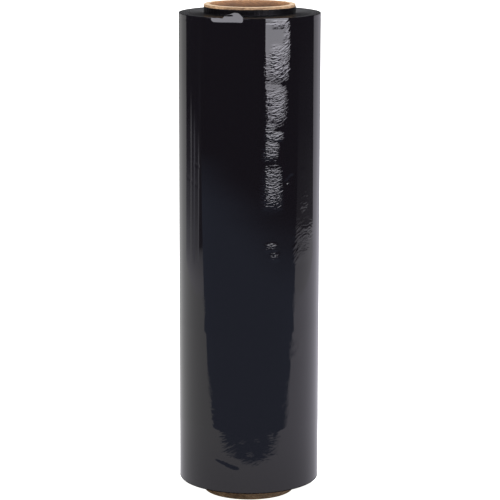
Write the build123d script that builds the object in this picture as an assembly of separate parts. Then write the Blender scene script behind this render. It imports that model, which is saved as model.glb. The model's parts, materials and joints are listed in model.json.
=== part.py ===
"""Stretch wrap roll: black stretch film wound on a spiral-wound paperboard core.

Sizes are millimetres. +Z runs up the roll's axis and the origin is the middle of the core's
lower end, which the roll stands on. The film's turns are one solid that grips the core's
outside face to face. The core reaches past the film at both ends, and the first few turns
were wound a little wider than the rest, so a thin collar of film covers each neck.
"""
import os

from build123d import *

# Core: a paperboard tube that fits a 3 inch dispenser spindle
CORE_BORE = 76.2
CORE_WALL = 5.6
CORE_EDGE_EASE = 0.3

# Film: 18 inch web
FILM_WIDTH = 457.2
FILM_BUILD = 24.4
FILM_EDGE_ROUND = 1.2

# How far the core reaches past the film
NECK_BELOW = 13.2
NECK_ABOVE = 8.4

# First turns, wound wider than the rest
COLLAR_HEIGHT = 6.0
COLLAR_BUILD = 0.35

# Worked out from the sizes above
BORE_RADIUS = CORE_BORE / 2
CORE_RADIUS = BORE_RADIUS + CORE_WALL
FILM_RADIUS = CORE_RADIUS + FILM_BUILD
COLLAR_RADIUS = CORE_RADIUS + COLLAR_BUILD
FILM_LOW = NECK_BELOW
FILM_HIGH = FILM_LOW + FILM_WIDTH
CORE_LENGTH = FILM_HIGH + NECK_ABOVE


def turned(profile):
    """Revolves a closed outline of (radius, height) points about the roll's axis."""
    outline = Polyline(*profile, close=True)
    section = Plane.XZ * make_face(outline)
    return revolve(section, Axis.Z, 360)


def rim_edges(solid, radius, height):
    """The round edges of this radius at this height."""
    rings = solid.edges().filter_by(GeomType.CIRCLE)
    at_height = rings.filter_by_position(Axis.Z, height - 0.01, height + 0.01)
    return [edge for edge in at_height if abs(edge.radius - radius) < 0.01]


def core():
    """Plain tube with its cut corners slightly eased, inside and outside."""
    tube = turned([
        (BORE_RADIUS, 0),
        (CORE_RADIUS, 0),
        (CORE_RADIUS, CORE_LENGTH),
        (BORE_RADIUS, CORE_LENGTH),
    ])
    corners = []
    for height in (0, CORE_LENGTH):
        for radius in (BORE_RADIUS, CORE_RADIUS):
            corners += rim_edges(tube, radius, height)
    return chamfer(corners, CORE_EDGE_EASE)


def film():
    """All turns as one solid: the wide body, and a thin collar on the neck at each end."""
    wound = turned([
        (CORE_RADIUS, FILM_LOW - COLLAR_HEIGHT),
        (COLLAR_RADIUS, FILM_LOW - COLLAR_HEIGHT),
        (COLLAR_RADIUS, FILM_LOW),
        (FILM_RADIUS, FILM_LOW),
        (FILM_RADIUS, FILM_HIGH),
        (COLLAR_RADIUS, FILM_HIGH),
        (COLLAR_RADIUS, FILM_HIGH + COLLAR_HEIGHT),
        (CORE_RADIUS, FILM_HIGH + COLLAR_HEIGHT),
    ])
    corners = rim_edges(wound, FILM_RADIUS, FILM_LOW) + rim_edges(wound, FILM_RADIUS, FILM_HIGH)
    return fillet(corners, FILM_EDGE_ROUND)


os.makedirs("parts", exist_ok=True)
for name, piece in (("core", core()), ("film", film())):
    export_step(piece, f"parts/{name}.step")
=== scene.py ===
"""Looks of a stretch wrap roll: glossy black film wound on a spiral-wound kraft core.

Metres, +Z up the roll's axis. The roll faces -Y, and angles round it are measured from -Y towards +X.
"""

import json
import math

import bpy
import numpy as np
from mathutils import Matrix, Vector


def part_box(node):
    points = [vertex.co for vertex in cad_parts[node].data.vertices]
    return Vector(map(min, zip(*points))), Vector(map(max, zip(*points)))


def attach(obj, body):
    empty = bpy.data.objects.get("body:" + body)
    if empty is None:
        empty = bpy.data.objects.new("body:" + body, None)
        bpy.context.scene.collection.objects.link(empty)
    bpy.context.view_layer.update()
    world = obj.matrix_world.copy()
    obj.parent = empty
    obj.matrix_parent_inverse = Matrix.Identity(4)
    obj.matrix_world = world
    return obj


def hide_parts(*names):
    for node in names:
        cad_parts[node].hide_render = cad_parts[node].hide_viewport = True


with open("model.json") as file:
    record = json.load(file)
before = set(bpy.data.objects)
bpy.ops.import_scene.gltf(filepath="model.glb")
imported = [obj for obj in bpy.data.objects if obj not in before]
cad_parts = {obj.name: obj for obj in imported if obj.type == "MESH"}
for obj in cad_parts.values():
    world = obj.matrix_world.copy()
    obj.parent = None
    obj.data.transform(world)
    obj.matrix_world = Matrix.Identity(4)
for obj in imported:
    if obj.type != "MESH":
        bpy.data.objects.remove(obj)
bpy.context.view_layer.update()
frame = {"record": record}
MM = 0.001

# ---------------------------------------------------------------- sizes, read off the frame
film_low_corner, film_high_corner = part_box("film")
core_high_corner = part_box("core")[1]
FILM_R = film_high_corner[0]
CORE_R = core_high_corner[0]
CORE_TOP = core_high_corner[2]
BORE_R = next(m for m in frame["record"]["mounts"] if m["name"] == "core_bore")["dims"]["r_mm"] * MM
COLLAR_LOW, COLLAR_HIGH = film_low_corner[2], film_high_corner[2]
COLLAR_TALL = 6.0 * MM
COLLAR_BUILD = 0.35 * MM
FILM_LOW, FILM_HIGH = COLLAR_LOW + COLLAR_TALL, COLLAR_HIGH - COLLAR_TALL

# ---------------------------------------------------------------- sizes of the looks
# The film's top edge is crisp, and its lower edge is rubbed rounder
TOP_EDGE_ROUND, LOW_EDGE_ROUND = 0.5 * MM, 1.2 * MM
# Where the last turn of film ends, in degrees
TAIL_ANGLE = -152.0
# A hair's gap between the film's inside and the core, so that their faces don't coincide
HAIR_GAP = 0.02 * MM
# Columns of faces round each turned piece
COLUMNS = 192


# ---------------------------------------------------------------- helpers
def linear(code):
    """An sRGB hex colour as linear RGBA."""
    parts = [int(code[i:i + 2], 16) / 255 for i in (1, 3, 5)]
    return [c / 12.92 if c <= 0.04045 else ((c + 0.055) / 1.055) ** 2.4 for c in parts] + [1.0]


def add(tree, kind, values=None, **settings):
    """Adds a node with its settings. values maps an input's name or number to a value or to an output."""
    made = tree.nodes.new(kind)
    for name, value in settings.items():
        setattr(made, name, value)
    for key, value in (values or {}).items():
        if isinstance(value, bpy.types.NodeSocket):
            tree.links.new(value, made.inputs[key])
        else:
            made.inputs[key].default_value = value
    return made


def ramp(tree, value, stops, smooth=False):
    """A colour ramp through (place, hex colour) stops."""
    made = add(tree, "ShaderNodeValToRGB", {0: value})
    band = made.color_ramp
    band.interpolation = "EASE" if smooth else "LINEAR"
    while len(band.elements) < len(stops):
        band.elements.new(0.5)
    for element, (place, colour) in zip(band.elements, stops):
        element.position = place
        element.color = linear(colour)
    return made.outputs[0]


def material(name):
    """A material with a Principled shader on its output, and its tree."""
    made = bpy.data.materials.new(name)
    made.use_nodes = True
    return made, made.node_tree, made.node_tree.nodes["Principled BSDF"]


def mesh_object(name, mesh, stuff=None):
    """Links a mesh as an object at the origin."""
    made = bpy.data.objects.new(name, mesh)
    bpy.context.scene.collection.objects.link(made)
    if stuff:
        made.data.materials.append(stuff)
    return made


# ---------------------------------------------------------------- camera
LENS, SENSOR = 168.45, 36.0
CAMERA_BACK, CAMERA_UP = 2.2305, 0.6787
CAMERA_TILT = math.radians(11.1445)
CAMERA_TURN = math.radians(0.007)
CAMERA_ROLL = math.radians(-0.13)


def place_camera():
    """Long lens, a little above the roll and looking down on it."""
    lens = bpy.data.cameras.new("camera")
    lens.lens, lens.sensor_width = LENS, SENSOR
    lens.clip_start, lens.clip_end = 0.05, 60.0
    camera = bpy.data.objects.new("camera", lens)
    bpy.context.scene.collection.objects.link(camera)
    camera.location = (0, -CAMERA_BACK, CAMERA_UP)
    camera.rotation_mode = "XYZ"
    camera.rotation_euler = (math.pi / 2 - CAMERA_TILT, CAMERA_ROLL, CAMERA_TURN)
    bpy.context.scene.camera = camera


place_camera()


# ---------------------------------------------------------------- materials
def unrolled(tree, spot, zero_angle, radius):
    """The surface laid flat, in metres: X round the roll from an angle in degrees, Y up it."""
    seam = add(tree, "ShaderNodeMapping", {
        "Vector": spot, "Rotation": (0, 0, math.radians(-90 - zero_angle)),
    }).outputs[0]
    turn = add(tree, "ShaderNodeTexGradient", {0: seam}, gradient_type="RADIAL").outputs["Fac"]
    around = add(tree, "ShaderNodeMath", {0: turn, 1: 2 * math.pi * radius}, operation="MULTIPLY").outputs[0]
    height = add(tree, "ShaderNodeSeparateXYZ", {0: spot}).outputs["Z"]
    return turn, around, height


def wrapped_stretch_film():
    """Cast polyethylene film pulled tight: near black, mirror smooth, finely crinkled where it slackened."""
    made, tree, shader = material("wrapped_stretch_film")
    spot = add(tree, "ShaderNodeTexCoord").outputs["Object"]
    _, around, height = unrolled(tree, spot, TAIL_ANGLE, FILM_R)
    lean = add(tree, "ShaderNodeAttribute", attribute_name="lean").outputs["Fac"]
    level = add(tree, "ShaderNodeMath", {0: height, 1: lean}, operation="SUBTRACT").outputs[0]
    sheet = add(tree, "ShaderNodeCombineXYZ", {"X": around, "Y": level}).outputs[0]
    # crinkles 3 to 4 mm apart and 5 to 10 mm long, across the film's pull
    fold = add(tree, "ShaderNodeMapping", {
        "Vector": sheet, "Scale": (1 / (7 * MM), 1 / (1.95 * MM), 1),
    }).outputs[0]
    crinkle = add(tree, "ShaderNodeTexNoise", {
        "Vector": fold, "Scale": 1.0, "Detail": 1.0, "Roughness": 0.5, "Distortion": 0.55,
    }, noise_dimensions="2D").outputs["Fac"]
    pinch = add(tree, "ShaderNodeMapping", {
        "Vector": sheet, "Rotation": (0, 0, math.radians(-35)), "Scale": (1 / (3.8 * MM), 1 / (1.6 * MM), 1),
    }).outputs[0]
    pucker = add(tree, "ShaderNodeTexNoise", {
        "Vector": pinch, "Scale": 1.0, "Detail": 0.0, "Distortion": 0.8,
    }, noise_dimensions="2D").outputs["Fac"]
    creased = add(tree, "ShaderNodeMath", {
        0: pucker, 1: 0.7, 2: crinkle,
    }, operation="MULTIPLY_ADD").outputs[0]
    depth = add(tree, "ShaderNodeAttribute", attribute_name="crinkle").outputs["Fac"]
    folds = add(tree, "ShaderNodeMath", {0: creased, 1: depth}, operation="MULTIPLY").outputs[0]
    # broader buckles where air got under the last turn
    puff = add(tree, "ShaderNodeMapping", {
        "Vector": sheet, "Rotation": (0, 0, math.radians(20)), "Scale": (1 / (9 * MM), 1 / (3.4 * MM), 1),
    }).outputs[0]
    buckle = add(tree, "ShaderNodeTexNoise", {
        "Vector": puff, "Scale": 1.0, "Detail": 0.0, "Distortion": 0.9,
    }, noise_dimensions="2D").outputs["Fac"]
    loose = add(tree, "ShaderNodeAttribute", attribute_name="buckle").outputs["Fac"]
    both = add(tree, "ShaderNodeMath", {0: buckle, 1: loose, 2: folds}, operation="MULTIPLY_ADD").outputs[0]
    # faint lines along the film's pull, drawn coarser than the real ones
    fine = add(tree, "ShaderNodeMapping", {
        "Vector": sheet, "Scale": (1 / (60 * MM), 1 / (1.6 * MM), 1),
    }).outputs[0]
    lines = add(tree, "ShaderNodeTexNoise", {
        "Vector": fine, "Scale": 1.0, "Detail": 1.0,
    }, noise_dimensions="2D").outputs["Fac"]
    lie = add(tree, "ShaderNodeBump", {"Height": lines, "Distance": 0.6e-6}).outputs[0]
    skin = add(tree, "ShaderNodeBump", {"Height": both, "Distance": 0.145 * MM, "Normal": lie}).outputs[0]
    tree.links.new(skin, shader.inputs["Normal"])
    shader.inputs["Base Color"].default_value = linear("#0d0b0f")
    shader.inputs["Roughness"].default_value = 0.035
    shader.inputs["IOR"].default_value = 1.51
    return made


def necked_film():
    """The few wide turns shrunk onto the neck: scuffed dull and puckered upwards."""
    made, tree, shader = material("necked_film")
    spot = add(tree, "ShaderNodeTexCoord").outputs["Object"]
    _, around, height = unrolled(tree, spot, 0, CORE_R)
    sheet = add(tree, "ShaderNodeCombineXYZ", {"X": around, "Y": height}).outputs[0]
    pucker = add(tree, "ShaderNodeMapping", {
        "Vector": sheet, "Rotation": (0, 0, math.radians(14)), "Scale": (1 / (1.8 * MM), 1 / (9 * MM), 1),
    }).outputs[0]
    pleats = add(tree, "ShaderNodeTexNoise", {
        "Vector": pucker, "Scale": 1.0, "Detail": 2.0, "Distortion": 0.4,
    }, noise_dimensions="2D").outputs["Fac"]
    rise = add(tree, "ShaderNodeBump", {"Height": pleats, "Distance": 0.5 * MM}).outputs[0]
    tree.links.new(rise, shader.inputs["Normal"])
    tree.links.new(ramp(tree, pleats, [(0.35, "#08070a"), (0.65, "#0f0d12")]), shader.inputs["Base Color"])
    shader.inputs["Roughness"].default_value = 0.42
    shader.inputs["Specular IOR Level"].default_value = 0.05
    return made


def wound_film_edges():
    """The edges of hundreds of turns side by side: dull black with fine rings, greyer where they part."""
    made, tree, shader = material("wound_film_edges")
    spot = add(tree, "ShaderNodeTexCoord").outputs["Object"]
    across = add(tree, "ShaderNodeVectorMath", {0: spot, 1: (1, 1, 0)}, operation="MULTIPLY").outputs[0]
    radius = add(tree, "ShaderNodeVectorMath", {0: across}, operation="LENGTH").outputs["Value"]
    wander = add(tree, "ShaderNodeTexNoise", {"Vector": spot, "Scale": 30.0, "Detail": 1.0}).outputs["Fac"]
    # rings 0.45 mm apart: single turns are far too fine to show
    drift = add(tree, "ShaderNodeMath", {
        0: wander, 1: 0.6 * MM, 2: radius,
    }, operation="MULTIPLY_ADD").outputs[0]
    ring = add(tree, "ShaderNodeMath", {0: drift, 1: 1 / (0.45 * MM)}, operation="MULTIPLY").outputs[0]
    turns = add(tree, "ShaderNodeTexNoise", {
        "W": ring, "Scale": 1.0, "Detail": 3.0, "Roughness": 0.7,
    }, noise_dimensions="1D").outputs["Fac"]
    tone = ramp(tree, turns, [(0.32, "#0b0b0d"), (0.55, "#18181a"), (0.72, "#2a2b2b")])
    tree.links.new(tone, shader.inputs["Base Color"])
    gloss = add(tree, "ShaderNodeMapRange", {0: turns, 1: 0.3, 2: 0.7, 3: 0.22, 4: 0.34}).outputs[0]
    tree.links.new(gloss, shader.inputs["Roughness"])
    # the turns' edges roll outwards, most next to the core
    inset = add(tree, "ShaderNodeMath", {0: FILM_R, 1: radius}, operation="SUBTRACT").outputs[0]
    curl = add(tree, "ShaderNodeMath", {0: inset, 1: inset}, operation="MULTIPLY").outputs[0]
    roll = add(tree, "ShaderNodeBump", {"Height": curl, "Distance": 3.4}).outputs[0]
    rise = add(tree, "ShaderNodeBump", {"Height": turns, "Distance": 0.02 * MM, "Normal": roll}).outputs[0]
    tree.links.new(rise, shader.inputs["Normal"])
    shader.inputs["IOR"].default_value = 1.51
    return made


# How far the outer ply climbs in one turn, and its angle
PLY_LEAD = 143.0 * MM
PLY_CLIMB = math.atan(PLY_LEAD / (2 * math.pi * CORE_R))


def kraft_core_board():
    """Recycled kraft paper wound in a spiral and glued: matt tan, fibrous, with its plies on the cut rims."""
    made, tree, shader = material("kraft_core_board")
    spot = add(tree, "ShaderNodeTexCoord").outputs["Object"]
    turn, around, height = unrolled(tree, spot, 40, CORE_R)
    sheet = add(tree, "ShaderNodeCombineXYZ", {"X": around, "Y": height}).outputs[0]
    fibres = add(tree, "ShaderNodeMapping", {
        "Vector": sheet, "Rotation": (0, 0, -PLY_CLIMB), "Scale": (1 / (5 * MM), 1 / (0.8 * MM), 1),
    }).outputs[0]
    grain = add(tree, "ShaderNodeTexNoise", {
        "Vector": fibres, "Scale": 1.0, "Detail": 4.0, "Roughness": 0.65,
    }, noise_dimensions="2D").outputs["Fac"]
    cloud = add(tree, "ShaderNodeTexNoise", {
        "Vector": spot, "Scale": 1 / (20 * MM), "Detail": 2.0,
    }).outputs["Fac"]
    both = add(tree, "ShaderNodeMath", {0: cloud, 1: 0.6, 2: grain}, operation="MULTIPLY_ADD").outputs[0]
    wall = ramp(tree, both, [(0.58, "#73553a"), (0.8, "#a5815d"), (1.0, "#cda983")])
    # the ply's butt joint, a dark line climbing one lead for each turn
    climb = add(tree, "ShaderNodeMath", {
        0: height, 1: 1 / PLY_LEAD, 2: 8.0,
    }, operation="MULTIPLY_ADD").outputs[0]
    behind = add(tree, "ShaderNodeMath", {0: climb, 1: turn}, operation="SUBTRACT").outputs[0]
    away = add(tree, "ShaderNodeMath", {0: behind, 1: 1.0}, operation="PINGPONG").outputs[0]
    joint = add(tree, "ShaderNodeMapRange", {
        0: away, 1: 0.15 * MM / PLY_LEAD, 2: 0.5 * MM / PLY_LEAD,
    }).outputs[0]
    seamed = add(tree, "ShaderNodeMix", {
        "Factor": joint, "A": linear("#5a4029"), "B": wall,
    }, data_type="RGBA")
    across = add(tree, "ShaderNodeVectorMath", {0: spot, 1: (1, 1, 0)}, operation="MULTIPLY").outputs[0]
    radius = add(tree, "ShaderNodeVectorMath", {0: across}, operation="LENGTH").outputs["Value"]
    # painted shade: the bore's wall is painted lighter at its top and darker from 7.5 mm down, standing in
    # for the shade inside the tube
    inside = add(tree, "ShaderNodeMapRange", {0: radius, 1: BORE_R + 1 * MM, 2: BORE_R + 2 * MM}).outputs[0]
    near_bore_top = add(tree, "ShaderNodeMapRange", {
        0: height, 1: CORE_TOP - 7.5 * MM, 2: CORE_TOP - 1 * MM,
    }).outputs[0]
    painted_bore_shade = ramp(tree, near_bore_top, [(0.0, "#765a40"), (0.5, "#a88768"), (1.0, "#caa680")])
    # lays the painted shade over the bore's wall
    bore_with_painted_shade = add(tree, "ShaderNodeMix", {
        "Factor": 0.6, "A": painted_bore_shade, "B": seamed.outputs["Result"],
    }, data_type="RGBA", blend_type="OVERLAY")
    sides = add(tree, "ShaderNodeMix", {
        "Factor": inside, "A": bore_with_painted_shade.outputs["Result"], "B": seamed.outputs["Result"],
    }, data_type="RGBA")
    ply = add(tree, "ShaderNodeMath", {0: cloud, 1: 0.5 * MM, 2: radius}, operation="MULTIPLY_ADD").outputs[0]
    ring = add(tree, "ShaderNodeMath", {0: ply, 1: 1 / (0.55 * MM)}, operation="MULTIPLY").outputs[0]
    plies = add(tree, "ShaderNodeTexNoise", {"W": ring, "Scale": 1.0, "Detail": 2.0}, noise_dimensions="1D")
    rim = ramp(tree, plies.outputs["Fac"], [(0.35, "#b8946e"), (0.5, "#e2c6a2"), (0.65, "#f3dcc0")])
    facing = add(tree, "ShaderNodeNewGeometry").outputs["Normal"]
    up = add(tree, "ShaderNodeSeparateXYZ", {0: facing}).outputs["Z"]
    flat = add(tree, "ShaderNodeMath", {0: up}, operation="ABSOLUTE").outputs[0]
    cut = add(tree, "ShaderNodeMapRange", {0: flat, 1: 0.5, 2: 0.8}).outputs[0]
    tone = add(tree, "ShaderNodeMix", {
        "Factor": cut, "A": sides.outputs["Result"], "B": rim,
    }, data_type="RGBA")
    tree.links.new(tone.outputs["Result"], shader.inputs["Base Color"])
    pressed = add(tree, "ShaderNodeMath", {0: grain, 1: joint}, operation="MULTIPLY").outputs[0]
    rise = add(tree, "ShaderNodeBump", {"Height": pressed, "Strength": 0.6, "Distance": 0.14 * MM}).outputs[0]
    tree.links.new(rise, shader.inputs["Normal"])
    shader.inputs["Roughness"].default_value = 0.88
    return made


# ---------------------------------------------------------------- turned shapes
def arc(centre, radius, start, end, steps):
    """Points (radius, height) on an arc between two angles in degrees."""
    turns = [math.radians(start + (end - start) * i / steps) for i in range(steps + 1)]
    return [(centre[0] + radius * math.cos(t), centre[1] + radius * math.sin(t)) for t in turns]


def run(start, end, step):
    """Points along a straight stretch, about one step apart, without its two ends."""
    count = max(1, round(math.dist(start, end) / step))
    return [tuple(a + (b - a) * i / count for a, b in zip(start, end)) for i in range(1, count)]


def profile_mesh(name, points, path_radius):
    """A closed chain of edges for a turning tree: x is the distance from its path, and -y the height."""
    mesh = bpy.data.meshes.new(name)
    count = len(points)
    mesh.from_pydata(
        [(r - path_radius, -z, 0) for r, z in points], [(i, (i + 1) % count) for i in range(count)], []
    )
    return mesh


def turning_tree(name, extra):
    """A tree with named inputs that turns a closed profile round the axis. extra holds its other inputs."""
    tree = bpy.data.node_groups.new(name, "GeometryNodeTree")
    face = tree.interface
    face.new_socket("Profile", in_out="INPUT", socket_type="NodeSocketGeometry")
    for label, kind in (("Path radius", "Float"), ("Columns", "Int"), ("Seed", "Float"), *extra):
        face.new_socket(label, in_out="INPUT", socket_type="NodeSocket" + kind)
    face.new_socket("Turned", in_out="OUTPUT", socket_type="NodeSocketGeometry")
    given = add(tree, "NodeGroupInput").outputs
    circle = add(tree, "GeometryNodeCurvePrimitiveCircle", {
        "Resolution": given["Columns"], "Radius": given["Path radius"],
    }).outputs["Curve"]
    section = add(tree, "GeometryNodeMeshToCurve", {"Mesh": given["Profile"]}).outputs[0]
    spun = add(tree, "GeometryNodeCurveToMesh", {"Curve": circle, "Profile Curve": section}).outputs[0]
    place = add(tree, "GeometryNodeInputPosition").outputs[0]
    across = add(tree, "ShaderNodeVectorMath", {0: place, 1: (1, 1, 0)}, operation="MULTIPLY").outputs[0]
    radius = add(tree, "ShaderNodeVectorMath", {0: across}, operation="LENGTH").outputs["Value"]
    facing = add(tree, "GeometryNodeInputNormal").outputs[0]
    tilt = add(tree, "ShaderNodeSeparateXYZ", {0: facing}).outputs["Z"]
    flat = add(tree, "ShaderNodeMath", {0: tilt}, operation="ABSOLUTE").outputs[0]
    return tree, given, spun, place, radius, facing, flat


def inwards(tree, spun, facing, depth, chosen):
    """Pushes the chosen points back along their normals."""
    back = add(tree, "ShaderNodeMath", {0: depth, 1: -1.0}, operation="MULTIPLY").outputs[0]
    shift = add(tree, "ShaderNodeVectorMath", {0: facing, "Scale": back}, operation="SCALE").outputs[0]
    moved = add(tree, "GeometryNodeSetPosition", {
        "Geometry": spun, "Selection": chosen, "Offset": shift,
    }).outputs[0]
    smooth = add(tree, "GeometryNodeSetShadeSmooth", {"Geometry": moved, "Shade Smooth": True}).outputs[0]
    return add(tree, "GeometryNodeRealizeInstances", {"Geometry": smooth}).outputs[0]


def uneven(tree, place, radius, seed, pitch, stretch):
    """A 0 to 1 unevenness of turns or plies: quick across the wall, one pitch apart, and slow round it."""
    slow = add(tree, "ShaderNodeVectorMath", {0: place, "Scale": stretch}, operation="SCALE").outputs[0]
    quick = add(tree, "ShaderNodeMath", {
        0: radius, 1: 1 / pitch, 2: seed,
    }, operation="MULTIPLY_ADD").outputs[0]
    return add(tree, "ShaderNodeTexNoise", {
        "Vector": slow, "W": quick, "Scale": 1.0, "Detail": 2.0,
    }, noise_dimensions="4D").outputs["Fac"]


def grown(name, base, tree, values):
    """Runs a node tree on a base mesh and returns its result as a plain mesh object."""
    seed = mesh_object(name + "_base", base)
    grower = seed.modifiers.new("grow", "NODES")
    grower.node_group = tree
    for item in tree.interface.items_tree:
        if item.in_out == "INPUT" and item.name in values:
            grower[item.identifier] = values[item.name]
    whole = seed.evaluated_get(bpy.context.evaluated_depsgraph_get())
    mesh = bpy.data.meshes.new_from_object(whole)
    mesh.name = name
    seed.modifiers.remove(grower)
    bpy.data.objects.remove(seed)
    return mesh_object(name, mesh)


# ---------------------------------------------------------------- wound film
def film_profile():
    """The film's section as (radius, height), closed, running up the inside and down the outside."""
    skin = CORE_R + HAIR_GAP
    collar = CORE_R + COLLAR_BUILD
    top_arc = arc((FILM_R - TOP_EDGE_ROUND, FILM_HIGH - TOP_EDGE_ROUND), TOP_EDGE_ROUND, 90, 0, 5)
    low_arc = arc((FILM_R - LOW_EDGE_ROUND, FILM_LOW + LOW_EDGE_ROUND), LOW_EDGE_ROUND, 0, -90, 6)
    shoulder = (FILM_R, FILM_HIGH - 8 * MM)
    points = [(skin, COLLAR_HIGH), (collar, COLLAR_HIGH)]
    points += run(points[-1], (collar, FILM_HIGH), 1.5 * MM) + [(collar, FILM_HIGH)]
    points += run(points[-1], top_arc[0], 1.5 * MM) + top_arc
    points += run(top_arc[-1], shoulder, 0.6 * MM) + [shoulder]
    points += run(shoulder, low_arc[0], 1.08 * MM) + low_arc
    points += run(low_arc[-1], (collar, FILM_LOW), 1.5 * MM) + [(collar, FILM_LOW)]
    points += run(points[-1], (collar, COLLAR_LOW), 1.5 * MM) + [(collar, COLLAR_LOW), (skin, COLLAR_LOW)]
    return points


def winding_tree():
    """Turns the film's profile, then lets its wall wander inwards in bands and its end faces in turns."""
    tree, given, spun, place, radius, facing, flat = turning_tree("wind_film", (
        ("Band depth", "Float"), ("Wander depth", "Float"), ("Turn depth", "Float"),
        ("Wall", "Material"), ("Ends", "Material"), ("Necks", "Material"),
    ))
    wall = add(tree, "ShaderNodeMath", {0: 1.0, 1: flat}, operation="SUBTRACT").outputs[0]
    height = add(tree, "ShaderNodeSeparateXYZ", {0: place}).outputs["Z"]
    # gauge bands: rings where the film ran a little thicker, a few centimetres apart
    along = add(tree, "ShaderNodeMath", {0: height, 1: given["Seed"]}, operation="ADD").outputs[0]
    bands = add(tree, "ShaderNodeTexNoise", {
        "W": along, "Scale": 1 / (34 * MM), "Detail": 1.0, "Roughness": 0.4,
    }, noise_dimensions="1D").outputs["Fac"]
    wander = add(tree, "ShaderNodeTexNoise", {
        "Vector": place, "W": given["Seed"], "Scale": 1 / (48 * MM), "Detail": 1.0,
    }, noise_dimensions="4D").outputs["Fac"]
    banded = add(tree, "ShaderNodeMath", {0: bands, 1: given["Band depth"]}, operation="MULTIPLY").outputs[0]
    slack = add(tree, "ShaderNodeMath", {
        0: wander, 1: given["Wander depth"], 2: banded,
    }, operation="MULTIPLY_ADD").outputs[0]
    on_wall = add(tree, "ShaderNodeMath", {0: slack, 1: wall}, operation="MULTIPLY").outputs[0]
    turns = uneven(tree, place, radius, given["Seed"], 2.4 * MM, 9.0)
    stepped = add(tree, "ShaderNodeMath", {0: turns, 1: given["Turn depth"]}, operation="MULTIPLY").outputs[0]
    depth = add(tree, "ShaderNodeMath", {
        0: stepped, 1: flat, 2: on_wall,
    }, operation="MULTIPLY_ADD").outputs[0]
    outside = add(tree, "FunctionNodeCompare", {
        0: radius, 1: CORE_R + COLLAR_BUILD / 2,
    }, operation="GREATER_THAN").outputs[0]
    real = inwards(tree, spun, facing, depth, outside)
    walls = add(tree, "GeometryNodeSetMaterial", {"Geometry": real, "Material": given["Wall"]}).outputs[0]
    slim = add(tree, "FunctionNodeCompare", {0: radius, 1: CORE_R + 3 * MM}, operation="LESS_THAN").outputs[0]
    necks = add(tree, "GeometryNodeSetMaterial", {
        "Geometry": walls, "Selection": slim, "Material": given["Necks"],
    }).outputs[0]
    level = add(tree, "FunctionNodeCompare", {0: flat, 1: 0.9}, operation="GREATER_THAN").outputs[0]
    done = add(tree, "GeometryNodeSetMaterial", {
        "Geometry": necks, "Selection": level, "Material": given["Ends"],
    }).outputs[0]
    add(tree, "NodeGroupOutput", {0: done})
    return tree


# Ridges where thick film built up: height, rise, and how far their foot reaches below and above, in mm
RIDGES = ((75.5, 0.34, 22, 30), (169.5, 0.26, 34, 20))
# Creases in the last turns: both ends as degrees and mm, half width and depth in mm
CREASES = (
    ((-31, 49), (-8, 40), 3.2, 0.36),
    ((30.5, 314), (37.5, 322.5), 1.5, 0.42),
    ((-49.5, 331), (-44, 328), 1.2, 0.07),
    ((-62, 318), (-44, 309), 1.6, 0.03),
    ((36, 156), (48, 168), 1.3, 0.06),
    ((34, 148), (46, 159), 1.3, 0.06),
    ((96, 210), (128, 262), 1.8, 0.12),
    ((118, 96), (150, 74), 1.8, 0.12),
    ((-96, 402), (-132, 380), 1.8, 0.10),
    ((-170, 150), (-128, 182), 1.8, 0.12),
    ((171, 388), (206, 424), 1.8, 0.12),
)
# Blisters of trapped air: degrees, height, half width and half height, and rise, in mm
BLISTERS = (
    (49.5, 243, 12, 8.5, 0.09),
    (-118, 262, 15, 10, 0.2),
    (142, 330, 18, 9, 0.2),
    (171, 118, 12, 14, 0.2),
)
# The knocked-in stretch of the top edge: from and to in degrees, where it starts in mm, and its slope
DENT_START, DENT_END, DENT_FOOT, DENT_SLOPE = -33.0, -5.0, 466.2, 0.25
# How far the plain wall lies inside the film's full radius, and the last turn's step, in mm
SLACK = 0.33
LAST_TURN = 0.08


def film_places(mesh):
    """Each vertex as (angle in degrees from the front, radius in mm, height in mm)."""
    places = np.empty(len(mesh.vertices) * 3)
    mesh.vertices.foreach_get("co", places)
    x, y, z = places.reshape(-1, 3).T / MM
    return np.degrees(np.arctan2(x, -y)), np.hypot(x, y), z


def apart(angle, at):
    """Degrees from one angle to another, the short way round."""
    return (angle - at + 180) % 360 - 180


def ridges(height):
    """How far the ridges stand up at each height."""
    rise = np.zeros(len(height))
    for at, tall, below, above in RIDGES:
        off = height - at
        rise += tall * np.clip(1 - np.where(off > 0, off / above, -off / below), 0, 1) ** 2
    return rise


def creases(angle, height):
    """How deep the creases are at each place: full depth along the middle, and shallow at both ends."""
    depth = np.zeros(len(angle))
    for (start, low), (end, high), wide, deep in CREASES:
        span = np.array([math.radians(end - start) * FILM_R / MM, high - low])
        off = np.array([np.radians(apart(angle, start)) * FILM_R / MM, height - low])
        share = np.clip((off * span[:, None]).sum(0) / (span @ span), 0, 1)
        gap = np.hypot(*(off - share * span[:, None]))
        depth += deep * np.exp(-((gap / wide) ** 2)) * np.clip(6 * share * (1 - share) + 0.25, 0, 1)
    return depth


def blisters(angle, height):
    """How far the blisters of trapped air stand up at each place."""
    rise = np.zeros(len(angle))
    for at, up, wide, tall, swell in BLISTERS:
        spread = (np.radians(apart(angle, at)) * FILM_R / MM / wide) ** 2 + ((height - up) / tall) ** 2
        rise += swell * np.clip(1 - spread, 0, 1) ** 2
    return rise


def pulled_in_edges(angle, height):
    """How far the film's own edges pull in, 4 mm from each end."""
    pull = 0.05 + 0.03 * np.sin(np.radians(angle) * 5) + 0.02 * np.sin(np.radians(angle) * 17)
    ends = (FILM_HIGH / MM - 4.1, FILM_LOW / MM + 4.1)
    return pull * sum(np.exp(-(((height - at) / 0.9) ** 2)) for at in ends)


def dent(angle, height):
    """How far the top edge is knocked in where the loose strip folds over it."""
    half, middle, fade = (DENT_END - DENT_START) / 2, (DENT_START + DENT_END) / 2, 1.2
    along = np.clip(0.5 + (half + fade / 2 - np.abs(apart(angle, middle))) / fade, 0, 1)
    return along * np.clip(height - DENT_FOOT, 0, None) * DENT_SLOPE


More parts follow.
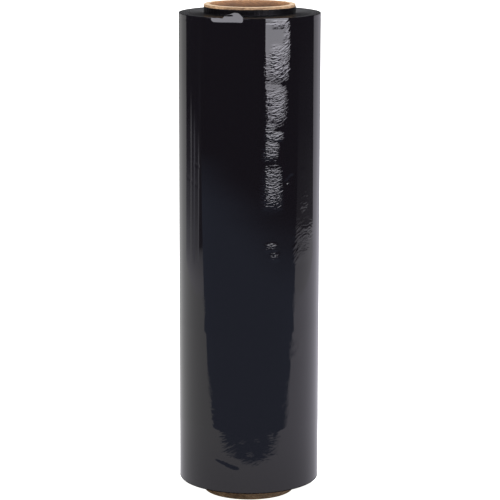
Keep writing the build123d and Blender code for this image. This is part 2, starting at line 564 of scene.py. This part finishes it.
def last_turn(angle, height):
    """How far the wall lies below the last turn's free end, which runs along a wavy line."""
    end = TAIL_ANGLE + 1.1 * np.sin(height / 31) + 0.5 * np.sin(height / 9 + 1)
    return LAST_TURN * ((angle - end) % 360) / 360


def shape_film(mesh):
    """Shapes the wall's ridges, creases, blisters and edges, all within the film's full radius."""
    angle, radius, height = film_places(mesh)
    full, top, bottom = FILM_R / MM, FILM_HIGH / MM, FILM_LOW / MM
    rise = ridges(height) - SLACK
    # the wall lies slacker at the front and back than at the sides
    rise *= 0.3 + 0.7 * np.clip(1.6 * np.abs(np.cos(np.radians(angle))), 0, 1)
    rise += blisters(angle, height) - creases(angle, height)
    rise -= pulled_in_edges(angle, height) + dent(angle, height) + last_turn(angle, height)
    # only the wall and the outer 3 mm of the end faces move
    share = np.clip((radius - full + 3) / 3, 0, 1)
    moved = np.where(share > 0, np.minimum(radius + rise * share, full - 0.01), radius)
    # the collars end unevenly on the necks
    ragged = 0.97 + 0.02 * np.sin(np.radians(angle) * 3 + 1) + 0.01 * np.sin(np.radians(angle) * 11)
    height = np.where(height > top + 0.5, top + (height - top) * ragged, height)
    height = np.where(height < bottom - 0.5, bottom + (height - bottom) * ragged, height)
    turn = np.radians(angle)
    places = np.stack([moved * np.sin(turn), -moved * np.cos(turn), height], axis=1) * MM
    mesh.vertices.foreach_set("co", places.astype(np.float32).ravel())
    mesh.update()


# Slack patches: degrees, height, half width in degrees, half height in mm, and how deeply the film crinkled
SLACK_PATCHES = (
    (25, 464.5, 8, 3.5, 1.3),
    (31.5, 447, 3, 17, 2.4),
    (25, 428, 8, 15, 2.8),
    (13, 424, 2.5, 12, 1.0),
    (21, 387, 9, 16, 2.3),
    (16, 366, 5, 7, 1.5),
    (20, 359, 8, 4, 1.7),
    (17, 346, 6.5, 9, 1.75),
    (19, 311, 8.5, 19, 1.75),
    (18, 254, 5, 4, 1.25),
    (21, 245, 4, 4, 1.1),
    (40, 200, 4, 12, 0.26),
    (40, 153, 7, 9, 0.65),
    (-39, 198, 4, 10, 0.26),
    (-34, 118, 5, 18, 0.28),
    (31, 100, 6, 24, 0.26),
    (-17, 56, 9, 16, 0.28),
    (19, 56, 9, 14, 0.26),
    (2, 45, 14, 6, 0.2),
    (-5, 66, 3, 3, 0.8),
    (1, 54, 3, 3, 0.8),
    (6, 68, 2.5, 3, 0.7),
    (17, 72, 3, 5, 0.7),
    (50, 256, 9, 14, 0.8),
    (-120, 330, 24, 70, 0.9),
    (150, 250, 30, 80, 1.0),
    (-165, 130, 20, 60, 0.8),
    (100, 120, 16, 50, 0.65),
)

# Where the last turn buckled, in the same terms
BUCKLED_PATCHES = (
    (49, 323, 3, 4, 0.7),
    (51, 296, 5, 9, 0.6),
    (52, 265, 13, 9, 1.3),
    (41, 246, 4, 10, 1.3),
    (40, 153, 6, 9, 0.8),
    (-38, 196, 5, 12, 0.3),
    (-32, 104, 6, 24, 0.34),
    (31, 104, 6, 26, 0.34),
    (-17, 58, 9, 17, 0.42),
    (19, 58, 9, 15, 0.36),
    (2, 45, 14, 6, 0.2),
    (-104, 290, 22, 40, 0.8),
    (128, 372, 20, 34, 0.8),
    (-150, 96, 18, 30, 0.7),
)


def strength(angle, height, patches, least):
    """The strongest of several soft-edged patches at each place."""
    found = np.full(len(angle), least)
    for at, up, wide, tall, depth in patches:
        spread = (apart(angle, at) / wide) ** 4 + ((height - up) / tall) ** 4
        found = np.maximum(found, depth * np.exp(-spread))
    return found


def lay_crinkles(mesh):
    """Writes how deeply the film crinkled and buckled at each point, and how far the crinkles climb there."""
    angle, _, height = film_places(mesh)
    slack = strength(angle, height, SLACK_PATCHES, 0.035)
    loose = strength(angle, height, BUCKLED_PATCHES, 0.0)
    # crinkles climb round the roll, from about level to nearly 40 degrees, in a slow wave
    turn, wave, crest = np.radians(angle), math.radians(48), math.radians(25)
    swing = wave / (2 * math.pi) * np.cos((turn - crest) * 2 * math.pi / wave)
    lean = FILM_R * (0.35 * turn - 0.4 * swing)
    for name, values in (("crinkle", slack), ("buckle", loose), ("lean", lean)):
        made = mesh.attributes.new(name, "FLOAT", "POINT")
        made.data.foreach_set("value", values.astype(np.float32))


def film_piece():
    """The whole film as one closed mesh, replacing its plain solid."""
    base = profile_mesh("film_profile", film_profile(), CORE_R)
    piece = grown("film_roll", base, winding_tree(), {
        "Path radius": CORE_R, "Columns": COLUMNS, "Band depth": 0.04 * MM, "Wander depth": 0.10 * MM,
        "Turn depth": 0.05 * MM, "Seed": 3.7, "Wall": wrapped_stretch_film(), "Ends": wound_film_edges(),
        "Necks": necked_film(),
    })
    shape_film(piece.data)
    lay_crinkles(piece.data)
    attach(piece, "root")
    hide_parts("film")


# The loose strip: from and to in degrees, its thickness in mm, and its mesh's columns and rows
FLAP_START, FLAP_END, FLAP_THICK = -32.6, -5.4, 0.07
FLAP_COLUMNS, FLAP_ROWS = 70, 16


def flap_foot(column):
    """How low the loose strip reaches, in mm: along the dent, and higher at its two ends."""
    left = 2.6 * max(0, 1 - column / 9) ** 2
    right = 1.5 * max(0, 1 - (FLAP_COLUMNS - column) / 3) ** 2
    return DENT_FOOT + 0.1 + left + right


def flap_top(angle):
    """How high the loose strip reaches, in mm: along the edge at first, then up in a low hump."""
    hump = np.clip((angle + 22) / 9, 0, 1) ** 0.6 * np.clip((-5.2 - angle) / 4, 0, 1) ** 0.7
    return FILM_HIGH / MM + 5.4 * hump + 0.15 * np.sin(angle * 0.9)


def flap_curl(angle, height):
    """How far the loose strip curls in over the edge, in mm, with a fold along the tab's foot."""
    hollow = 0.3 * min(1, max(0, (-13 - angle) / 4)) * math.exp(-(((height - 472) / 0.9) ** 2))
    return 0.245 * (height - DENT_FOOT) + 0.015 * math.sin(angle * 1.7 + height) + hollow


def flap_piece():
    """The loose strip of the last turn: a thin sheet in the knocked-in edge, with a tab standing above it."""
    points = []
    for sink in (0, FLAP_THICK):
        for i in range(FLAP_COLUMNS + 1):
            angle = FLAP_START + (FLAP_END - FLAP_START) * i / FLAP_COLUMNS
            foot = flap_foot(i)
            top = max(foot + 0.5, flap_top(angle))
            for j in range(FLAP_ROWS + 1):
                height = foot + (top - foot) * j / FLAP_ROWS
                radius = FILM_R / MM - 0.04 - flap_curl(angle, height) - sink
                turn = math.radians(angle)
                points.append((radius * math.sin(turn) * MM, -radius * math.cos(turn) * MM, height * MM))
    row, layer = FLAP_ROWS + 1, (FLAP_COLUMNS + 1) * (FLAP_ROWS + 1)
    faces = []
    for i in range(FLAP_COLUMNS):
        for j in range(FLAP_ROWS):
            a, b = i * row + j, (i + 1) * row + j
            faces.append((a, b, b + 1, a + 1))
            faces.append((layer + a, layer + a + 1, layer + b + 1, layer + b))
    rim = [i * row for i in range(FLAP_COLUMNS)] + [FLAP_COLUMNS * row + j for j in range(FLAP_ROWS)]
    rim += [i * row + FLAP_ROWS for i in range(FLAP_COLUMNS, 0, -1)] + list(range(FLAP_ROWS, 0, -1))
    for a, b in zip(rim, rim[1:] + rim[:1]):
        faces.append((b, a, layer + a, layer + b))
    mesh = bpy.data.meshes.new("edge_flap")
    mesh.from_pydata(points, [], faces)
    mesh.shade_smooth()
    piece = mesh_object("edge_flap", mesh, bpy.data.materials["wrapped_stretch_film"])
    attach(piece, "root")
    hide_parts("film")


# ---------------------------------------------------------------- core
def core_profile():
    """The tube's section as (radius, height), closed: fine across the cut rims, coarse along the walls."""
    ease = 0.45 * MM
    out_top = arc((CORE_R - ease, CORE_TOP - ease), ease, 90, 0, 4)
    out_low = arc((CORE_R - ease, ease), ease, 0, -90, 4)
    in_low = arc((BORE_R + ease, ease), ease, 270, 180, 4)
    in_top = arc((BORE_R + ease, CORE_TOP - ease), ease, 180, 90, 4)
    points = list(out_top)
    for corner, step in ((out_low, 4 * MM), (in_low, 0.3 * MM), (in_top, 4 * MM), (out_top, 0.3 * MM)):
        points += run(points[-1], corner[0], step) + corner
    return points[:-len(out_top)]


def board_tree():
    """Turns the core's profile, then wears its cut rims: plies stand unevenly and the rim wanders."""
    tree, given, spun, place, radius, facing, flat = turning_tree("wind_core", (
        ("Ply depth", "Float"), ("Rim wander", "Float"), ("Board", "Material"),
    ))
    plies = uneven(tree, place, radius, given["Seed"], 0.6 * MM, 22.0)
    worn = add(tree, "ShaderNodeMath", {0: plies, 1: given["Ply depth"]}, operation="MULTIPLY").outputs[0]
    wander = add(tree, "ShaderNodeTexNoise", {
        "Vector": place, "W": given["Seed"], "Scale": 1 / (17 * MM), "Detail": 2.0,
    }, noise_dimensions="4D").outputs["Fac"]
    wavy = add(tree, "ShaderNodeMath", {
        0: wander, 1: given["Rim wander"], 2: worn,
    }, operation="MULTIPLY_ADD").outputs[0]
    depth = add(tree, "ShaderNodeMath", {0: wavy, 1: flat}, operation="MULTIPLY").outputs[0]
    real = inwards(tree, spun, facing, depth, True)
    done = add(tree, "GeometryNodeSetMaterial", {"Geometry": real, "Material": given["Board"]}).outputs[0]
    add(tree, "NodeGroupOutput", {0: done})
    return tree


def core_piece():
    """The wound paperboard tube, replacing its plain solid."""
    base = profile_mesh("core_profile", core_profile(), BORE_R)
    piece = grown("core_tube", base, board_tree(), {
        "Path radius": BORE_R, "Columns": COLUMNS, "Ply depth": 0.3 * MM, "Rim wander": 0.2 * MM, "Seed": 1.3,
        "Board": kraft_core_board(),
    })
    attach(piece, "root")
    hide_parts("core")


film_piece()
flap_piece()
core_piece()


# ---------------------------------------------------------------- studio
FLOOR_HALF = 12.0
# The lit table: its front edge before the roll and the nearest dark beside it
TABLE_FRONT, TABLE_SIDE = 0.215, 1.0
# How far the dark reaches, and the directions where the light backdrop begins on each side, in degrees
FAR = 9.0
BACKDROP_LEFT, BACKDROP_RIGHT = 124.0, 126.2
# Cards lie in layers, each half of this above the one below
CARD_UP = 0.4 * MM
ROUND_STEPS = 48
# Light streaks in the dark on the left: direction and width in degrees, reach in metres, and colour
STREAKS = ((-109.0, 2.8, 3.1, "#dedee4"), (-100.4, 3.2, 2.9, "#bcbcc8"), (-90.4, 2.6, 2.64, "#dcdce6"))
STREAK_START = 1.2
# The far walls: from and to in degrees, and the glow of each stretch
WALLS = (
    (-126.5, 110, "#2e2c31", 1.0),
    (110, 116, "#3c3b40", 1.0),
    (116, 121, "#6a6a70", 1.0),
    (121, 126.5, "#3c3b40", 1.0),
    (126.5, 233.5, "#fafaff", 0.5),
)
WALL_FAR, WALL_TALL = 8.0, 1.3
CEILING_UP = 6.0


def round_point(angle, distance, height=0.0):
    """A point at an angle round the roll, measured from its front towards +X, in degrees."""
    turn = math.radians(angle)
    return (distance * math.sin(turn), -distance * math.cos(turn), height)


def hide_from(thing, *rays):
    """Keeps a studio piece out of some kinds of rays."""
    for kind in rays:
        setattr(thing, "visible_" + kind, False)


def gloss_piece(name, mesh, stuff):
    """A studio piece that shows in reflections alone."""
    made = mesh_object(name, mesh, stuff)
    hide_from(made, "camera", "diffuse", "shadow", "transmission", "volume_scatter")


def one_face(name, corners):
    """A mesh of one flat face."""
    mesh = bpy.data.meshes.new(name)
    mesh.from_pydata(list(corners), [], [tuple(range(len(corners)))])
    return mesh


def flat_card(name, outline, up, stuff):
    """A card that lies at a height, from (x, y) points."""
    gloss_piece(name, one_face(name, [(x, y, up) for x, y in outline]), stuff)


def standing_card(name, outline, distance, stuff):
    """An upright card, from points of direction in degrees and height."""
    gloss_piece(name, one_face(name, [round_point(angle, distance, up) for angle, up in outline]), stuff)


def disc(reach):
    """The (x, y) points of a circle round the roll."""
    return [round_point(360 * i / ROUND_STEPS, reach)[:2] for i in range(ROUND_STEPS)]


def square(half):
    """The (x, y) corners of a square round the roll."""
    return [(-half, -half), (half, -half), (half, half), (-half, half)]


def lamp(name, strength=1.0):
    """A glowing material, its tree and its shader."""
    made = bpy.data.materials.new(name)
    made.use_nodes = True
    tree = made.node_tree
    tree.nodes.clear()
    light = add(tree, "ShaderNodeEmission", {"Strength": strength})
    add(tree, "ShaderNodeOutputMaterial", {"Surface": light.outputs[0]})
    return made, tree, light


def even_glow(name, colour, strength=1.0):
    """One colour of light all over."""
    made, _, light = lamp(name, strength)
    light.inputs["Color"].default_value = linear(colour)
    return made


def fading_glow(name, stops, axis, start, end, strength=1.0):
    """Light that fades through its colours along an axis, between two places."""
    made, tree, light = lamp(name, strength)
    spot = add(tree, "ShaderNodeTexCoord").outputs["Object"]
    along = add(tree, "ShaderNodeSeparateXYZ", {0: spot}).outputs[axis]
    share = add(tree, "ShaderNodeMapRange", {0: along, 1: start, 2: end}).outputs[0]
    tree.links.new(ramp(tree, share, stops, True), light.inputs["Color"])
    return made


def ringed_glow(name, stops, start, end, centre=0.0, smooth=True):
    """Light that changes with the distance from a centre on the X axis."""
    made, tree, light = lamp(name)
    spot = add(tree, "ShaderNodeTexCoord").outputs["Object"]
    moved = add(tree, "ShaderNodeMapping", {"Vector": spot, "Location": (-centre, 0, 0)}).outputs[0]
    far = add(tree, "ShaderNodeVectorMath", {0: moved}, operation="LENGTH").outputs["Value"]
    share = add(tree, "ShaderNodeMapRange", {0: far, 1: start, 2: end}).outputs[0]
    tree.links.new(ramp(tree, share, stops, smooth), light.inputs["Color"])
    return made


def table_glow():
    """The lit table as the film mirrors it: dimmer far off and behind, a touch yellower on the left."""
    made, tree, light = lamp("table_glow", 1.09)
    spot = add(tree, "ShaderNodeTexCoord").outputs["Object"]
    far = add(tree, "ShaderNodeVectorMath", {0: spot}, operation="LENGTH").outputs["Value"]
    share = add(tree, "ShaderNodeMapRange", {0: far, 1: 0.0, 2: FAR}).outputs[0]
    near_to_far = ramp(tree, share, [
        (0.012, "#e2dfec"), (0.035, "#f5f2ff"), (0.11, "#f5f2ff"),
        (0.22, "#e3e0ec"), (0.41, "#cfccd6"), (1.0, "#c3c0ca"),
    ])
    turned = add(tree, "ShaderNodeMapping", {
        "Vector": spot, "Rotation": (0, 0, math.radians(-90)),
    }).outputs[0]
    turn = add(tree, "ShaderNodeTexGradient", {0: turned}, gradient_type="RADIAL").outputs["Fac"]
    off = add(tree, "ShaderNodeMath", {0: turn, 1: 0.5}, operation="SUBTRACT").outputs[0]
    aside = add(tree, "ShaderNodeMath", {0: off}, operation="ABSOLUTE").outputs[0]
    behind = ramp(tree, aside, [(0.0, "#9f9f9f"), (0.056, "#e1e1e1"), (0.078, "#f7f7f7"), (0.095, "#ffffff")])
    both = add(tree, "ShaderNodeMix", {
        "Factor": 1.0, "A": near_to_far, "B": behind,
    }, data_type="RGBA", blend_type="MULTIPLY")
    side = add(tree, "ShaderNodeSeparateXYZ", {0: spot}).outputs["X"]
    right = add(tree, "ShaderNodeMapRange", {0: side, 1: -0.3, 2: 0.3}).outputs[0]
    warmth = ramp(tree, right, [(0.0, "#f1f4e8"), (1.0, "#ffffff")])
    warmed = add(tree, "ShaderNodeMix", {
        "Factor": 1.0, "A": both.outputs["Result"], "B": warmth,
    }, data_type="RGBA", blend_type="MULTIPLY")
    tree.links.new(warmed.outputs["Result"], light.inputs["Color"])
    return made


def pale_floor():
    """A matt white floor that glows a little, so that the roll's shadow on it stays faint."""
    stuff, _, shader = material("pale_floor")
    shader.inputs["Base Color"].default_value = linear("#fbfbfb")
    shader.inputs["Roughness"].default_value = 0.9
    shader.inputs["Specular IOR Level"].default_value = 0.1
    shader.inputs["Emission Color"].default_value = linear("#ffffff")
    shader.inputs["Emission Strength"].default_value = 0.9
    corners = [(x, y, 0) for x, y in square(FLOOR_HALF)]
    mesh_object("floor", one_face("floor", corners), stuff)


def table():
    """The lit table, the dusk before its slightly bent front edge, and the shade that the roll stands in."""
    flat_card("lit_table", square(FLOOR_HALF), CARD_UP / 2, table_glow())
    edge = [(FAR, -TABLE_FRONT), (0.47, -TABLE_FRONT), (0.33, -0.199), (0.16, -0.2095), (0, -TABLE_FRONT)]
    flat_card("dark_front", [(-FAR, -FAR), (FAR, -FAR), *edge, (-FAR, -TABLE_FRONT)], CARD_UP, ringed_glow(
        "dusk", [(0.0, "#76849c"), (1.0, "#2e2c31")], 1.25, 2.05, -0.35))
    flat_card("under_shade", disc(FILM_R + 22 * MM), CARD_UP, even_glow("under_shade", "#161517"))


def dark_side(name, way, backdrop, stops, smooth):
    """The dark beside the table, from its front edge to where the backdrop begins."""
    low, high = sorted((way * TABLE_SIDE, way * FAR))
    climb = math.tan(math.radians(backdrop - 90))
    outline = [(low, -TABLE_FRONT), (high, -TABLE_FRONT), (high, abs(high) * climb), (low, abs(low) * climb)]
    flat_card(name, outline, CARD_UP, ringed_glow(name, stops, 1.0, 5.0, smooth=smooth))


def darkness():
    """The dark on both sides of the table, with a paler step and light streaks on the left."""
    dark_side("dark_left", -1, BACKDROP_LEFT, [
        (0.0, "#f4f2fa"), (0.1, "#b4b4bc"), (0.19, "#8e8e96"), (0.3, "#5c5c64"), (0.5, "#303036"),
    ], True)
    dark_side("dark_right", 1, BACKDROP_RIGHT, [
        (0.0, "#f4f2fa"), (0.135, "#dcdae2"), (0.137, "#6a696f"), (0.4, "#44434a"), (1.0, "#2c2b31"),
    ], False)
    step = [(-FAR, -TABLE_FRONT), (-1.3, -TABLE_FRONT), (-1.3, 0.01), (-FAR, 0.01)]
    flat_card("dark_step", step, 1.5 * CARD_UP, even_glow("dark_step", "#48484e"))
    for number, (angle, wide, reach, colour) in enumerate(STREAKS):
        name = f"streak_{number}"
        corners = ((-1, STREAK_START), (1, STREAK_START), (1, reach), (-1, reach))
        outline = [round_point(angle + way * wide / 2, away)[:2] for way, away in corners]
        fade = [(0.0, "#303034"), (0.4, colour), (1.0, colour)]
        flat_card(name, outline, 2 * CARD_UP, fading_glow(name, fade, "X", -reach, -STREAK_START))


def ring_wall(name, start, end, low, high, stuff):
    """A stretch of upright wall far round the roll."""
    steps = max(2, round((end - start) / 4))
    turns = [start + (end - start) * i / steps for i in range(steps + 1)]
    points = [round_point(turn, WALL_FAR, up) for up in (low, high) for turn in turns]
    mesh = bpy.data.meshes.new(name)
    count = steps + 1
    mesh.from_pydata(points, [], [(i, i + 1, count + i + 1, count + i) for i in range(steps)])
    gloss_piece(name, mesh, stuff)


def surround():
    """Far walls and a ceiling: dark before the roll and at its sides, white low down behind it."""
    for number, (start, end, colour, strength) in enumerate(WALLS):
        name = f"wall_{number}"
        ring_wall(name, start, end, -0.01, WALL_TALL, even_glow(name, colour, strength))
    ring_wall("high_wall", 0, 360, WALL_TALL, CEILING_UP, even_glow("high_wall", "#2c2b2f"))
    flat_card("ceiling", disc(WALL_FAR), CEILING_UP, even_glow("ceiling", "#8a8a8c"))


def lights():
    """Even white light for the shapes, and two soft panels that the film mirrors."""
    world = bpy.data.worlds.new("studio")
    world.use_nodes = True
    shade = world.node_tree.nodes["Background"]
    shade.inputs["Color"].default_value = (1, 1, 1, 1)
    shade.inputs["Strength"].default_value = 1.2
    bpy.context.scene.world = world
    world.cycles_visibility.glossy = False
    side = ((25, 0.15), (49, 0.15), (53, 0.205), (64, 0.235), (64, 2.0), (25, 2.0))
    standing_card("side_panel", side, 1.9, fading_glow(
        "side_panel", [(0, "#b2b1b8"), (1, "#f6f5ff")], "Z", 0.28, 0.5, 10))
    high = ((-75, 0.95), (0, 0.95), (0, 1.9), (-75, 1.9))
    standing_card("high_panel", high, 2.0, even_glow("high_panel", "#f6f5ff", 5.5))


def foot_shade():
    """A dim tray under the film's overhang that keeps the studio's light off the core's foot."""
    rings = ((CORE_R - 1 * MM, 0.2 * MM), (FILM_R - 2 * MM, 0.2 * MM), (FILM_R - 2 * MM, FILM_LOW - 1 * MM))
    points = [(x, y, up) for reach, up in rings for x, y in disc(reach)]
    faces = []
    for low in (0, ROUND_STEPS):
        for i in range(ROUND_STEPS):
            a, b = low + i, low + (i + 1) % ROUND_STEPS
            faces.append((a, b, b + ROUND_STEPS, a + ROUND_STEPS))
    mesh = bpy.data.meshes.new("foot_shade")
    mesh.from_pydata(points, [], faces)
    shade = mesh_object("foot_shade", mesh, even_glow("foot_shade", "#7b7970"))
    hide_from(shade, "camera", "glossy", "shadow", "transmission")


bpy.context.scene.view_settings.view_transform = "Standard"
pale_floor()
table()
darkness()
surround()
lights()
foot_shade()
